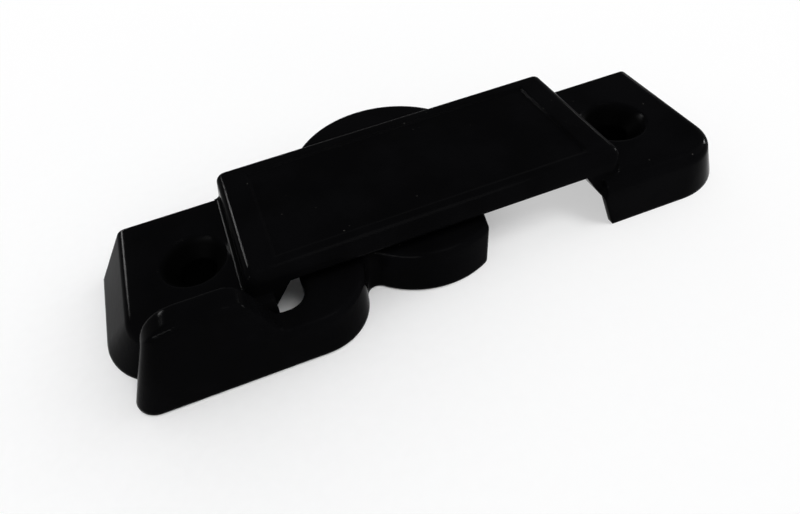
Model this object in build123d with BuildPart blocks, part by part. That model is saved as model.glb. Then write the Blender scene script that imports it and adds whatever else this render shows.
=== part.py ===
"""Sash lock: a cast housing with a raised bridge, and a cam lever that turns under the bridge.

Millimetres. X runs along the lock, Y to the keeper at the back, Z up.
The origin is on the base plane, midway between the two screw holes, on the pivot axis.
The lever is in its locked place: thumb tab to the left, cam out at the back.
"""
import os
from math import cos, radians, sin, sqrt, tan
from build123d import *

os.makedirs("parts", exist_ok=True)

# housing, plan
hole_spacing = 60.3
foot_length = 88.7
end_slope = 35.1
pad_front = -11.2
pad_back = 10.5
foot_corner = 9.2
crown_corner = 5.0
pad_edge = 1.5
back_edge = 0.6

# housing, heights
pad_top = 7.6
bridge_rise = 3.7
bridge_thick = 2.7

# bridge
bridge_length = 48.6
bridge_slope = 10.0
bridge_front = -9.6
bridge_back = 10.8
bridge_nose = 1.7
bridge_end_edge = 1.4
bridge_back_edge = 0.7
bridge_root = 0.7
panel_inset_x = 4.1
panel_inset_y = 2.2
panel_depth = 0.35
panel_draft = 35.0

# opening under the bridge
opening_foot = 48.0
leg_slope = 22.0
gusset_height = 5.2
gusset_slope = 34.5
skin = 1.0
bore_wall = 1.55

# screw holes
bore_r = 2.4
rim_r = 4.5
sink_angle = 82.0

# lever
lever_bottom = 0.2
lever_top = 6.7
hub_r = 11.65
cam_r = 14.15
cam_x = -0.9
cam_y = 7.55
stop_x = 5.95
stop_lean = 13.0
stop_corner = 1.2
stop_root = 3.0
arm_corner = 7.3
arm_right = -10.5
arm_left = -18.4
arm_shoulder = -6.5
inner_corner = 2.4
waist_corner = 1.45
side_corner = 6.0
side_angle = 12.0
tab_thick = 3.55
tab_gap = 0.5
tab_top = 14.0
tab_left = -41.3
tab_step = -22.2
tab_lean = 23.5
tab_crown_left = 5.0
tab_crown_right = 3.0
tab_end_foot = 3.0
tab_end_crown = 1.6
tab_foot = 1.2
lever_edge = 0.8
running_gap = 0.06
sweep_gap = 0.5

# pivot
boss_r = 6.0
boss_gap = 0.1
post_r = 4.0
recess_r = 8.5
recess_top = 3.0
washer_thick = 0.8
spring_height = 0.85
spring_thick = 0.4
rivet_r = 1.5
rivet_head_r = 3.4
rivet_head = 0.8
rivet_length = 5.0

# keeper channel under the cam
channel_mid_r = 16.15
channel_width = 4.5
channel_depth = 4.6
channel_shift = 2.0
channel_start = 12.0
channel_sweep = 98.0

# small clearances and overlaps
cut_margin = 1.0
join = 0.5
near = 0.01
spring_gap = 0.05
washer_gap = 0.05
post_gap = 0.3
hole_gap = 0.3
washer_r = 7.4
rim_gap = 0.2

# sizes that follow
bridge_top = pad_top + bridge_rise
bridge_under = bridge_top - bridge_thick
crown_length = foot_length - 2 * pad_top * tan(radians(end_slope))
pad_depth = pad_back - pad_front
pad_mid = (pad_back + pad_front) / 2
hole_x = hole_spacing / 2
foot_cut = foot_corner + cut_margin
crown_cut = crown_corner + cut_margin
bridge_depth = bridge_back - bridge_front
bridge_mid = (bridge_back + bridge_front) / 2
bridge_half = bridge_length / 2
bridge_draw = tan(radians(bridge_slope))
bridge_foot = bridge_half + bridge_rise * bridge_draw
root_height = 2 * bridge_root
core_half = hole_x - bore_r - bore_wall
opening_half = opening_foot / 2
opening_knee = opening_half - gusset_height * tan(radians(leg_slope))
opening_top = opening_knee - (bridge_under - gusset_height) * tan(radians(gusset_slope))
boss_bottom = lever_top + boss_gap
lever_bore = post_r + running_gap
cam_reach = sqrt(cam_x ** 2 + cam_y ** 2) + cam_r
relief_r = cam_reach + sweep_gap
post_end = recess_top - spring_height - spring_gap
spring_bottom = post_end
washer_bottom = post_end - washer_thick
tab_back = pad_front - tab_gap
tab_front = tab_back - tab_thick
lean = tan(radians(tab_lean))
crown_left = tab_left + (tab_top - lever_bottom) * lean
crown_right = tab_step - (tab_top - lever_top) * lean
knee_x = arm_right - arm_corner
knee_y = tab_front + arm_corner
end_foot_cut = tab_end_foot + cut_margin
end_crown_cut = tab_end_crown + cut_margin

# round in the waist between hub and arm: it touches both circles from outside
knee_mid = Vector(knee_x, knee_y)
knee_way = knee_mid.normalized()
waist_reach = hub_r + waist_corner
knee_reach = arm_corner + waist_corner
waist_along = (waist_reach ** 2 - knee_reach ** 2 + knee_mid.length ** 2) / (2 * knee_mid.length)
waist_aside = sqrt(waist_reach ** 2 - waist_along ** 2)
waist_mid = knee_way * waist_along + Vector(-knee_way.Y, knee_way.X) * waist_aside
hub_touch = waist_mid.normalized() * hub_r
knee_touch = knee_mid + (waist_mid - knee_mid).normalized() * arm_corner
waist_deep = waist_mid + (hub_touch + knee_touch - waist_mid * 2).normalized() * waist_corner
knee_round = knee_mid + ((knee_touch - knee_mid) + Vector(0, -arm_corner)).normalized() * arm_corner

# stop flat on the hub's right, from the hub's edge back to the cam
stop_at = Vector(stop_x, -sqrt(hub_r ** 2 - stop_x ** 2))
stop_way = Vector(sin(radians(stop_lean)), cos(radians(stop_lean)))
stop_side = Vector(stop_way.Y, -stop_way.X)
stop_in = stop_way.dot(stop_at - Vector(cam_x, cam_y))
stop_gap = (stop_at - Vector(cam_x, cam_y)).length ** 2 - cam_r ** 2
stop_end = stop_at + stop_way * (-stop_in - sqrt(stop_in ** 2 - stop_gap))

cam_side = (cam_x - cam_r * cos(radians(side_angle)), cam_y - cam_r * sin(radians(side_angle)))
spring_in = post_r + post_gap
spring_out = washer_r - rim_gap


# bridge of the housing, with leaning ends and soft edges
with BuildPart() as bridge:
    with BuildSketch(Plane.XZ.offset(-bridge_back)) as bridge_side:
        with BuildLine():
            Polyline(
                (-bridge_foot - join * bridge_draw, pad_top - join),
                (bridge_foot + join * bridge_draw, pad_top - join),
                (bridge_half, bridge_top),
                (-bridge_half, bridge_top),
                close=True,
            )
        make_face()
    extrude(amount=bridge_depth)
    top_edges = bridge.faces().sort_by(Axis.Z)[-1].edges()
    fillet(top_edges.sort_by(Axis.Y)[0], bridge_nose)
    top_edges = bridge.faces().sort_by(Axis.Z)[-1].edges()
    fillet(top_edges.filter_by(Axis.Y), bridge_end_edge)
    top_edges = bridge.faces().sort_by(Axis.Z)[-1].edges()
    fillet(top_edges.sort_by(Axis.Y)[-1], bridge_back_edge)


# housing
with BuildPart() as housing:
    # end pads in one bar, its ends leaning in from foot to crown
    with BuildSketch(Plane.XZ.offset(-pad_back)) as pads:
        with BuildLine():
            Polyline(
                (-foot_length / 2, 0),
                (foot_length / 2, 0),
                (crown_length / 2, pad_top),
                (-crown_length / 2, pad_top),
                close=True,
            )
        make_face()
    extrude(amount=pad_depth)

    # front corners, rounder at the foot than at the crown, then the soft rim of the pads' top
    for side in (-1, 1):
        foot_x = side * (foot_length / 2 - foot_corner)
        crown_x = side * (crown_length / 2 - crown_corner)
        with BuildSketch(Plane.XY) as foot_round:
            with Locations((foot_x + side * foot_cut / 2, pad_front - cut_margin + foot_cut / 2)):
                Rectangle(foot_cut, foot_cut)
            with Locations((foot_x, pad_front + foot_corner)):
                Circle(foot_corner, mode=Mode.SUBTRACT)
        with BuildSketch(Plane.XY.offset(pad_top)) as crown_round:
            with Locations((crown_x + side * crown_cut / 2, pad_front - cut_margin + crown_cut / 2)):
                Rectangle(crown_cut, crown_cut)
            with Locations((crown_x, pad_front + crown_corner)):
                Circle(crown_corner, mode=Mode.SUBTRACT)
        loft(mode=Mode.SUBTRACT)
    fillet(housing.faces().sort_by(Axis.Z)[-1].edges().sort_by(Axis.Y)[:-1], pad_edge)
    back_rim = housing.faces().sort_by(Axis.Y)[-1].edges()
    chamfer(back_rim.sort_by(Axis.Z)[1:], back_edge)

    # raised bridge, and the small round where its ends rise from the pads
    add(bridge.part)
    for side in (-1, 1):
        with BuildSketch(Plane.XZ.offset(bridge_back_edge - bridge_back)) as root:
            with BuildLine():
                Polyline(
                    (side * (bridge_foot - join), pad_top - pad_edge),
                    (side * (bridge_foot + bridge_root), pad_top - pad_edge),
                    (side * (bridge_foot + bridge_root), pad_top),
                    (side * bridge_foot, pad_top),
                    (side * (bridge_foot - root_height * bridge_draw), pad_top + root_height),
                    (side * (bridge_foot - root_height * bridge_draw - join), pad_top + root_height),
                    close=True,
                )
            make_face()
            fillet(root.vertices().sort_by_distance((side * bridge_foot, pad_top))[0], bridge_root)
        extrude(amount=bridge_depth - bridge_back_edge - bridge_end_edge)

    # opening from front to back, its side walls leaning in
    with BuildSketch(Plane.XZ) as opening:
        with BuildLine():
            Polyline(
                (-opening_half, 0),
                (opening_half, 0),
                (opening_knee, gusset_height),
                (opening_top, bridge_under),
                (-opening_top, bridge_under),
                (-opening_knee, gusset_height),
                close=True,
            )
        make_face()
    extrude(amount=2 * pad_depth, both=True, mode=Mode.SUBTRACT)

    # pads' front ledge stops short of the bridge's legs
    with BuildSketch(Plane.XY.offset(gusset_height)) as ledge:
        with Locations((0, bridge_front - bridge_nose)):
            Rectangle(2 * opening_knee, 2 * bridge_nose)
    extrude(amount=pad_top, mode=Mode.SUBTRACT)

    # legs cored out from below, between the front and back skins and up to the screw bores' walls
    with BuildSketch(Plane.XY) as core:
        with Locations((0, pad_mid)):
            Rectangle(2 * core_half, pad_depth - 2 * skin)
    extrude(amount=gusset_height, mode=Mode.SUBTRACT)

    # round relief in the legs that lets the cam swing past
    with BuildSketch(Plane.XY) as relief:
        Circle(relief_r)
    extrude(amount=lever_top + boss_gap, mode=Mode.SUBTRACT)

    # boss and post under the bridge
    with BuildSketch(Plane.XY.offset(boss_bottom)) as boss:
        Circle(boss_r)
    extrude(amount=bridge_under - boss_bottom + join)
    with BuildSketch(Plane.XY.offset(post_end)) as post:
        Circle(post_r)
    extrude(amount=bridge_under - post_end)
    with BuildSketch(Plane.XY.offset(post_end)) as rivet_hole:
        Circle(rivet_r)
    extrude(amount=rivet_length, mode=Mode.SUBTRACT)

    # shallow panel in the bridge's top
    with BuildSketch(Plane.XY.offset(bridge_top - panel_depth)) as panel:
        with Locations((0, bridge_mid)):
            Rectangle(bridge_length - 2 * panel_inset_x, bridge_depth - 2 * panel_inset_y)
    extrude(amount=panel_depth, taper=-panel_draft, mode=Mode.SUBTRACT)

    # countersunk screw holes
    with Locations((-hole_x, 0, pad_top), (hole_x, 0, pad_top)):
        CounterSinkHole(radius=bore_r, counter_sink_radius=rim_r, counter_sink_angle=sink_angle)
housing.part.label = "housing"
export_step(housing.part, "parts/housing.step")


# cam lever
with BuildPart() as cam_lever:
    # low plate: hub, cam and arm in one outline
    with BuildSketch(Plane.XY.offset(lever_bottom)) as plate:
        Circle(hub_r)
        with BuildLine():
            Polyline(
                stop_at - stop_way * hub_r,
                stop_at + stop_way * hub_r * 3,
                stop_at + stop_way * hub_r * 3 + stop_side * hub_r * 2,
                stop_at - stop_way * hub_r + stop_side * hub_r * 2,
                close=True,
            )
        make_face(mode=Mode.SUBTRACT)
        with Locations((cam_x, cam_y)):
            Circle(cam_r)
        with BuildLine():
            Line((0, 0), hub_touch)
            ThreePointArc(hub_touch, waist_deep, knee_touch)
            ThreePointArc(knee_touch, knee_round, (knee_x, tab_front))
            Polyline(
                (knee_x, tab_front),
                (tab_step, tab_front),
                (tab_step, tab_back),
                (arm_left, tab_back),
                (arm_left, arm_shoulder),
                cam_side,
                (cam_x, cam_y),
                (0, 0),
            )
        make_face()
        fillet(plate.vertices().sort_by_distance((arm_left, tab_back))[0], inner_corner)
        fillet(plate.vertices().sort_by_distance((arm_left, arm_shoulder))[0], side_corner)
        fillet(plate.vertices().sort_by_distance(cam_side)[0], side_corner)
        fillet(plate.vertices().sort_by_distance(stop_at)[0], stop_corner)
        fillet(plate.vertices().sort_by_distance(stop_end)[0], stop_root)
    extrude(amount=lever_top - lever_bottom)

    # upright thumb tab with leaning ends, on the front of the arm
    with BuildSketch(Plane.XZ.offset(-tab_back)) as tab:
        with BuildLine():
            Polyline(
                (tab_left, lever_bottom),
                (crown_left, tab_top),
                (crown_right, tab_top),
                (tab_step, lever_top),
                (knee_x - join, lever_top),
                (knee_x - join, lever_bottom),
                close=True,
            )
        make_face()
        fillet(tab.vertices().sort_by_distance((crown_left, tab_top))[0], tab_crown_left)
        fillet(tab.vertices().sort_by_distance((crown_right, tab_top))[0], tab_crown_right)
        fillet(tab.vertices().sort_by_distance((tab_step, lever_top))[0], tab_foot)
    extrude(amount=tab_thick)

    # soft edges round the plate's top and the tab
    rim = cam_lever.edges().filter_by_position(Axis.Z, lever_top - near, lever_top + near)
    front = cam_lever.edges().filter_by_position(Axis.Y, tab_front - near, tab_front + near)
    back = cam_lever.edges().filter_by_position(Axis.Y, tab_back - near, tab_back + near)
    soft = [e for e in rim if e.center().X > tab_step + 2 * tab_foot]
    soft += [e for e in front if e.center().Z > lever_bottom + cut_margin]
    soft += [e for e in back if e.center().Z > lever_bottom + cut_margin and e.center().X < arm_left]
    fillet(list(dict.fromkeys(soft)), lever_edge)

    # left end of the tab, rounder at the foot than at the crown
    with BuildSketch(Plane.XY.offset(lever_bottom)) as end_foot:
        end_mid = end_foot_cut / 2 - cut_margin
        with Locations((tab_left + end_mid, tab_front + end_mid)):
            Rectangle(end_foot_cut, end_foot_cut)
        with Locations((tab_left + tab_end_foot, tab_front + tab_end_foot)):
            Circle(tab_end_foot, mode=Mode.SUBTRACT)
    with BuildSketch(Plane.XY.offset(tab_top)) as end_crown:
        end_mid = end_crown_cut / 2 - cut_margin
        with Locations((crown_left + end_mid, tab_front + end_mid)):
            Rectangle(end_crown_cut, end_crown_cut)
        with Locations((crown_left + tab_end_crown, tab_front + tab_end_crown)):
            Circle(tab_end_crown, mode=Mode.SUBTRACT)
    loft(mode=Mode.SUBTRACT)

    # bore on the post, and the recess under the hub
    with BuildSketch(Plane.XY.offset(lever_bottom)) as bore:
        Circle(lever_bore)
    extrude(amount=lever_top, mode=Mode.SUBTRACT)
    with BuildSketch(Plane.XY.offset(lever_bottom)) as recess:
        Circle(recess_r)
    extrude(amount=recess_top - lever_bottom, mode=Mode.SUBTRACT)

    # keeper channel: an arc off the pivot's centre, so that it draws the keeper in
    with BuildSketch(Plane.XY.offset(lever_bottom)) as channel:
        with BuildLine(mode=Mode.PRIVATE) as channel_path:
            CenterArc((channel_shift, 0), channel_mid_r, channel_start, channel_sweep)
        SlotArc(channel_path.edges()[0], channel_width)
    extrude(amount=channel_depth, mode=Mode.SUBTRACT)
cam_lever.part.label = "cam_lever"
export_step(cam_lever.part, "parts/cam_lever.step")


# disc spring
with BuildPart() as disc_spring:
    with BuildSketch(Plane.XZ) as spring_section:
        with BuildLine():
            Polyline(
                (spring_out, spring_bottom),
                (spring_out, spring_bottom + spring_thick),
                (spring_in, spring_bottom + spring_height),
                (spring_in, spring_bottom + spring_height - spring_thick),
                close=True,
            )
        make_face()
    revolve(axis=Axis.Z)
disc_spring.part.label = "disc_spring"
export_step(disc_spring.part, "parts/disc_spring.step")


# retaining washer
with BuildPart() as retaining_washer:
    with BuildSketch(Plane.XY.offset(washer_bottom)) as washer_ring:
        Circle(washer_r)
        Circle(rivet_r + washer_gap, mode=Mode.SUBTRACT)
    extrude(amount=washer_thick)
retaining_washer.part.label = "retaining_washer"
export_step(retaining_washer.part, "parts/retaining_washer.step")


# pivot rivet
with BuildPart() as pivot_rivet:
    with BuildSketch(Plane.XY.offset(washer_bottom - rivet_head)) as rivet_disc:
        Circle(rivet_head_r)
    extrude(amount=rivet_head)
    with BuildSketch(Plane.XY.offset(washer_bottom)) as rivet_shank:
        Circle(rivet_r)
    extrude(amount=washer_thick + rivet_length - hole_gap)
pivot_rivet.part.label = "pivot_rivet"
export_step(pivot_rivet.part, "parts/pivot_rivet.step")
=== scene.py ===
"""Looks of the sash lock: black enamel on the two castings, plated steel on the pivot's small parts."""
from math import cos, radians, sin

import bpy
from mathutils import Euler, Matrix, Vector


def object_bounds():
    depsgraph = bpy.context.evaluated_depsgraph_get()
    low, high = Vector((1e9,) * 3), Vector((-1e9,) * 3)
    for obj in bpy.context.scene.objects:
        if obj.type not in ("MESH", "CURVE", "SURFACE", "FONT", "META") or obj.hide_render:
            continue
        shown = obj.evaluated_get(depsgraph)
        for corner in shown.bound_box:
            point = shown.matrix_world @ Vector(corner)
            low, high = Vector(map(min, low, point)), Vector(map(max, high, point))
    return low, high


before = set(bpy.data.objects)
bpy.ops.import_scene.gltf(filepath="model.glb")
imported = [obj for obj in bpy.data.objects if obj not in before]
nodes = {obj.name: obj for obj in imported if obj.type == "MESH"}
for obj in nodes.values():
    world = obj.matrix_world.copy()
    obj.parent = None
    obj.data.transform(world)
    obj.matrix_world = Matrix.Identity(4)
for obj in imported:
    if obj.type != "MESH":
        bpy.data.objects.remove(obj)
cad_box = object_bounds()
scene = bpy.context.scene
scene.view_settings.view_transform = "Standard"

# sizes of the model that the enamel follows, in metres
HOLE_X = 0.03015
SINK_R = 0.0045
CASTINGS = ("housing", "cam_lever")

# colours
PAINT_DEEP = (0.0017, 0.0017, 0.0019, 1)
PAINT_THIN = (0.0024, 0.0024, 0.0027, 1)
# painted shade: the screw recesses are coloured darker to stand in for the shade inside them
PAINTED_SHADE_IN_RECESS = (0.0006, 0.0006, 0.0006, 1)
DUST = (0.060, 0.058, 0.052, 1)
STEEL_DARK = (0.42, 0.42, 0.43, 1)
STEEL_LIGHT = (0.58, 0.58, 0.57, 1)
CARD_DARK = (0.90, 0.90, 0.90, 1)
CARD_LIGHT = (0.93, 0.93, 0.93, 1)
SKY_LOW = (0.95, 0.95, 0.95, 1)
SKY_HIGH = (0.46, 0.46, 0.465, 1)

# relief of the finishes, in metres
ENAMEL_EDGE_R = 0.0006
ENAMEL_RELIEF = 0.00003
STEEL_RELIEF = 0.00002

# floor: its shade is whole below the thumb tab, and a glow to the eye thins it further out
FLOOR_REACH = 6.0
FLOOR_DROP = 0.0001
SHADE_CENTRE = (-0.030, -0.004, 0)
SHADE_R = 0.016
HALF_SHADE_R = 0.050
OPEN_FLOOR_R = 0.120
HALF_GLOW = 0.5
OPEN_GLOW = 0.35


def new_material(name):
    mat = bpy.data.materials.new(name)
    mat.use_nodes = True
    tree = mat.node_tree
    shader = tree.nodes["Principled BSDF"]
    return mat, tree, shader


def add(tree, kind, **values):
    node = tree.nodes.new(kind)
    for key, value in values.items():
        setattr(node, key, value)
    return node


def math_node(tree, operation, a, b):
    """Joins two values, of which the second may be a plain number."""
    node = add(tree, "ShaderNodeMath", operation=operation)
    tree.links.new(a, node.inputs[0])
    if isinstance(b, float):
        node.inputs[1].default_value = b
    else:
        tree.links.new(b, node.inputs[1])
    return node.outputs[0]


def noise(tree, coords, scale, detail, rough):
    node = add(tree, "ShaderNodeTexNoise")
    node.inputs["Scale"].default_value = scale
    node.inputs["Detail"].default_value = detail
    node.inputs["Roughness"].default_value = rough
    tree.links.new(coords, node.inputs["Vector"])
    return node.outputs["Fac"]


def span(tree, value, low, high, to_low, to_high):
    """Maps low..high of a value to to_low..to_high, held at both ends."""
    node = add(tree, "ShaderNodeMapRange", interpolation_type="SMOOTHSTEP")
    for socket, number in zip(node.inputs[1:5], (low, high, to_low, to_high)):
        socket.default_value = number
    tree.links.new(value, node.inputs[0])
    return node.outputs[0]


def mix_colour(tree, factor, a, b):
    """Mixes two colours, each a plain one or another node's."""
    node = add(tree, "ShaderNodeMix", data_type="RGBA")
    tree.links.new(factor, node.inputs[0])
    for socket, value in ((node.inputs[6], a), (node.inputs[7], b)):
        if isinstance(value, tuple):
            socket.default_value = value
        else:
            tree.links.new(value, socket)
    return node.outputs[2]


def hole_distance(tree, coords, x):
    """Distance from the upright axis of the screw hole at x."""
    flat = add(tree, "ShaderNodeVectorMath", operation="MULTIPLY")
    flat.inputs[1].default_value = (1, 1, 0)
    tree.links.new(coords, flat.inputs[0])
    away = add(tree, "ShaderNodeVectorMath", operation="DISTANCE")
    away.inputs[1].default_value = (x, 0, 0)
    tree.links.new(flat.outputs[0], away.inputs[0])
    return away.outputs["Value"]


def in_recess(tree, coords):
    """1 down in the screw recesses, 0 elsewhere; it marks where shade is painted into the recesses and
    the paint is duller.
    """
    left = hole_distance(tree, coords, -HOLE_X)
    right = hole_distance(tree, coords, HOLE_X)
    return span(tree, math_node(tree, "MINIMUM", left, right), SINK_R, 0.8 * SINK_R, 0.0, 1.0)


def dust_specks(tree, coords):
    """Specks in patches, on what faces up."""
    facing = add(tree, "ShaderNodeSeparateXYZ")
    tree.links.new(add(tree, "ShaderNodeNewGeometry").outputs["Normal"], facing.inputs[0])
    cells = add(tree, "ShaderNodeTexVoronoi", feature="F1")
    cells.inputs["Scale"].default_value = 520.0
    tree.links.new(coords, cells.inputs["Vector"])
    patch = noise(tree, coords, scale=420.0, detail=3.0, rough=0.6)
    speck = span(tree, cells.outputs["Distance"], 0.07, 0.03, 0.0, 1.0)
    speck = math_node(tree, "MULTIPLY", speck, span(tree, patch, 0.48, 0.58, 0.0, 1.0))
    return math_node(tree, "MULTIPLY", speck, span(tree, facing.outputs["Z"], 0.3, 0.8, 0.0, 0.6))


def enamel():
    """Stoved black enamel: orange peel, soft gloss clouds, screw recesses duller and with painted shade,
    a little dust.
    """
    mat, tree, shader = new_material("black_enamel")
    links = tree.links
    coords = add(tree, "ShaderNodeTexCoord").outputs["Object"]
    clouds = noise(tree, coords, scale=95.0, detail=4.0, rough=0.55)
    peel = noise(tree, coords, scale=850.0, detail=2.0, rough=0.45)
    grain = noise(tree, coords, scale=5200.0, detail=2.0, rough=0.6)
    # recess mask: paints shade into the screw recesses and makes their paint duller
    recess_shade_and_dull = in_recess(tree, coords)
    speck = dust_specks(tree, coords)

    # paint clouds from deep to thin, painted shade darkens the screw recesses, with dust on top
    paint = mix_colour(tree, span(tree, clouds, 0.35, 0.65, 0.0, 1.0), PAINT_DEEP, PAINT_THIN)
    paint = mix_colour(tree, recess_shade_and_dull, paint, PAINTED_SHADE_IN_RECESS)
    links.new(mix_colour(tree, speck, paint, DUST), shader.inputs["Base Color"])

    # gloss varies a little, dust and recesses are duller
    dull = span(tree, clouds, 0.3, 0.7, 0.09, 0.14)
    dull = math_node(tree, "ADD", dull, math_node(tree, "MULTIPLY", speck, 0.5))
    dull = math_node(tree, "ADD", dull, math_node(tree, "MULTIPLY", recess_shade_and_dull, 0.4))
    links.new(dull, shader.inputs["Roughness"])
    shader.inputs["Specular IOR Level"].default_value = 0.0024

    # sharp edges of the casting are softened by the paint
    soft = add(tree, "ShaderNodeBevel", samples=8)
    soft.inputs["Radius"].default_value = ENAMEL_EDGE_R
    height = math_node(tree, "ADD", peel, math_node(tree, "MULTIPLY", grain, 0.12))
    height = math_node(tree, "ADD", height, math_node(tree, "MULTIPLY", speck, 0.8))
    bump = add(tree, "ShaderNodeBump")
    bump.inputs["Strength"].default_value = 0.3
    bump.inputs["Distance"].default_value = ENAMEL_RELIEF
    links.new(height, bump.inputs["Height"])
    links.new(soft.outputs[0], bump.inputs["Normal"])
    links.new(bump.outputs[0], shader.inputs["Normal"])
    return mat


def steel():
    """Plated steel with turning marks round the pivot's axis."""
    mat, tree, shader = new_material("plated_steel")
    links = tree.links
    coords = add(tree, "ShaderNodeTexCoord").outputs["Object"]
    rings = add(tree, "ShaderNodeTexWave", wave_type="RINGS", rings_direction="Z")
    rings.inputs["Scale"].default_value = 900.0
    rings.inputs["Distortion"].default_value = 1.5
    rings.inputs["Detail"].default_value = 2.0
    links.new(coords, rings.inputs["Vector"])
    clouds = noise(tree, coords, scale=260.0, detail=4.0, rough=0.6)

    tone = mix_colour(tree, span(tree, clouds, 0.35, 0.65, 0.0, 1.0), STEEL_DARK, STEEL_LIGHT)
    links.new(tone, shader.inputs["Base Color"])
    shader.inputs["Metallic"].default_value = 1.0
    dull = span(tree, clouds, 0.3, 0.7, 0.26, 0.38)
    dull = math_node(tree, "ADD", dull, math_node(tree, "MULTIPLY", rings.outputs["Fac"], 0.08))
    links.new(dull, shader.inputs["Roughness"])

    bump = add(tree, "ShaderNodeBump")
    bump.inputs["Strength"].default_value = 0.25
    bump.inputs["Distance"].default_value = STEEL_RELIEF
    links.new(rings.outputs["Fac"], bump.inputs["Height"])
    links.new(bump.outputs[0], shader.inputs["Normal"])
    return mat


def white_card():
    """White card that also glows to the camera and in reflections, more so away from the lock."""
    mat, tree, shader = new_material("white_card")
    links = tree.links
    coords = add(tree, "ShaderNodeTexCoord").outputs["Object"]
    fibre = noise(tree, coords, scale=700.0, detail=3.0, rough=0.6)
    links.new(mix_colour(tree, fibre, CARD_DARK, CARD_LIGHT), shader.inputs["Base Color"])
    shader.inputs["Roughness"].default_value = 0.9
    shader.inputs["Specular IOR Level"].default_value = 0.0

    rays = add(tree, "ShaderNodeLightPath").outputs
    seen = math_node(tree, "MAXIMUM", rays["Is Camera Ray"], rays["Is Glossy Ray"])
    seen = math_node(tree, "MAXIMUM", seen, rays["Is Transmission Ray"])
    away = add(tree, "ShaderNodeVectorMath", operation="DISTANCE")
    away.inputs[1].default_value = SHADE_CENTRE
    links.new(coords, away.inputs[0])
    near_glow = span(tree, away.outputs["Value"], SHADE_R, HALF_SHADE_R, 0.0, HALF_GLOW)
    far_glow = span(tree, away.outputs["Value"], HALF_SHADE_R, OPEN_FLOOR_R, 0.0, OPEN_GLOW)
    glow = math_node(tree, "ADD", near_glow, far_glow)

    both = add(tree, "ShaderNodeMixShader")
    links.new(math_node(tree, "MULTIPLY", seen, glow), both.inputs[0])
    links.new(shader.outputs[0], both.inputs[1])
    links.new(add(tree, "ShaderNodeEmission").outputs[0], both.inputs[2])
    links.new(both.outputs[0], tree.nodes["Material Output"].inputs["Surface"])
    return mat


def paint_nodes():
    black = enamel()
    bright = steel()
    for name, node in nodes.items():
        finish = black if name in CASTINGS else bright
        for slot in node.material_slots:
            slot.material = finish


def make_floor():
    mesh = bpy.data.meshes.new("floor")
    corners = [(-1, -1), (1, -1), (1, 1), (-1, 1)]
    mesh.from_pydata([(x * FLOOR_REACH, y * FLOOR_REACH, 0) for x, y in corners], [], [(0, 1, 2, 3)])
    mesh.materials.append(white_card())
    floor = bpy.data.objects.new("floor", mesh)
    scene.collection.objects.link(floor)
    floor.location.z = cad_box[0][2] - FLOOR_DROP


def make_world():
    """A sky that is pale low down and greyer overhead."""
    world = bpy.data.worlds.new("studio")
    scene.world = world
    world.use_nodes = True
    tree = world.node_tree
    sky = tree.nodes["Background"]
    height = add(tree, "ShaderNodeSeparateXYZ")
    tree.links.new(add(tree, "ShaderNodeTexCoord").outputs["Generated"], height.inputs[0])
    tone = add(tree, "ShaderNodeValToRGB")
    low, high = tone.color_ramp.elements
    low.position = 0.22
    low.color = SKY_LOW
    high.position = 0.60
    high.color = SKY_HIGH
    tree.links.new(height.outputs["Z"], tone.inputs[0])
    tree.links.new(tone.outputs[0], sky.inputs["Color"])
    sky.inputs["Strength"].default_value = 1.0


def place(data, azimuth, elevation):
    """Hangs a lamp one metre off, aimed at the lock; azimuth 0 is the back of the lock, 90 its right."""
    obj = bpy.data.objects.new(data.name, data)
    scene.collection.objects.link(obj)
    az, el = radians(azimuth), radians(elevation)
    to_lamp = Vector((sin(az) * cos(el), cos(az) * cos(el), sin(el)))
    obj.rotation_euler = to_lamp.to_track_quat("Z", "Y").to_euler()
    obj.location = to_lamp
    return obj


def lamp(name, azimuth, elevation, strength, width, glint=False):
    """A round lamp, its width an angle. A glint lamp shows only in reflections."""
    data = bpy.data.lights.new(name, "SUN")
    data.energy = strength
    data.angle = radians(width)
    place(data, azimuth, elevation).visible_diffuse = not glint


def strip_lamp(name, azimuth, elevation, watts, length, height):
    """A long lamp that shows only in reflections."""
    data = bpy.data.lights.new(name, "AREA")
    data.shape = "RECTANGLE"
    data.size = length
    data.size_y = height
    data.energy = watts
    obj = place(data, azimuth, elevation)
    obj.visible_diffuse = False
    obj.visible_camera = False


def make_camera():
    """The photograph's camera: close, looking down over the thumb tab."""
    view = bpy.data.cameras.new("camera")
    view.sensor_width = 36.0
    view.lens = 26.4065
    view.shift_x = 0.05222
    view.shift_y = -0.00524
    view.clip_start = 0.002
    view.clip_end = 50.0
    camera = bpy.data.objects.new("camera", view)
    scene.collection.objects.link(camera)
    camera.location = (-0.020622, -0.055313, 0.059980)
    camera.rotation_euler = Euler((radians(42.23766), radians(6.87072), radians(-19.32065)), "XYZ")
    scene.camera = camera


paint_nodes()
make_floor()
make_world()
make_camera()

# two soft lamps light the lock, and the others draw the bright lines along its edges
lamp("front", azimuth=150, elevation=64, strength=1.5, width=26)
lamp("side", azimuth=95, elevation=36, strength=0.5, width=40)
lamp("left_edge", azimuth=-35, elevation=26, strength=3.4, width=10, glint=True)
lamp("right_edge", azimuth=50, elevation=14, strength=0.12, width=5, glint=True)
lamp("arm_edge", azimuth=80, elevation=12, strength=2.0, width=8, glint=True)
strip_lamp("front_edge", azimuth=228, elevation=24, watts=30.0, length=1.0, height=0.12)
